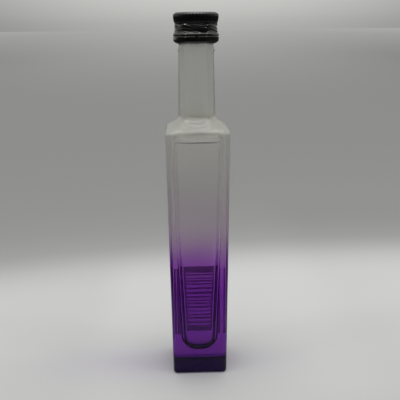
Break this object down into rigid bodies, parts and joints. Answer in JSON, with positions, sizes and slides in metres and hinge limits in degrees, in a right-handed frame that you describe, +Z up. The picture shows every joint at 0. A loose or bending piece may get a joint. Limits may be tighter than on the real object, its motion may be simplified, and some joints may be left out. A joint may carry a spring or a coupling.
{
  "type": "miniature spirit bottle",
  "caption": "Slim square-section glass miniature with a long neck, frosted above and purple below, a black roll-on metal cap and its clear drink.",
  "frame": {"origin": "middle of the base that the bottle stands on", "axes": "+Z up the bottle to the cap; the plain front faces -Y and the label is on the +Y face"},
  "size_m": [0.0266, 0.0266, 0.1575],
  "materials": {
    "frosted_glass": "frosted at the top, clear purple at the foot",
    "clear_drink": "clear liquid",
    "black_cap": "glossy black lacquer on thin aluminium",
    "label_film": "matte printed film"
  },
  "bodies": {
    "root": {"bottle": "frosted_glass", "liquid": "clear_drink", "cap": "black_cap", "back_label": "label_film"}
  },
  "joints": []
}
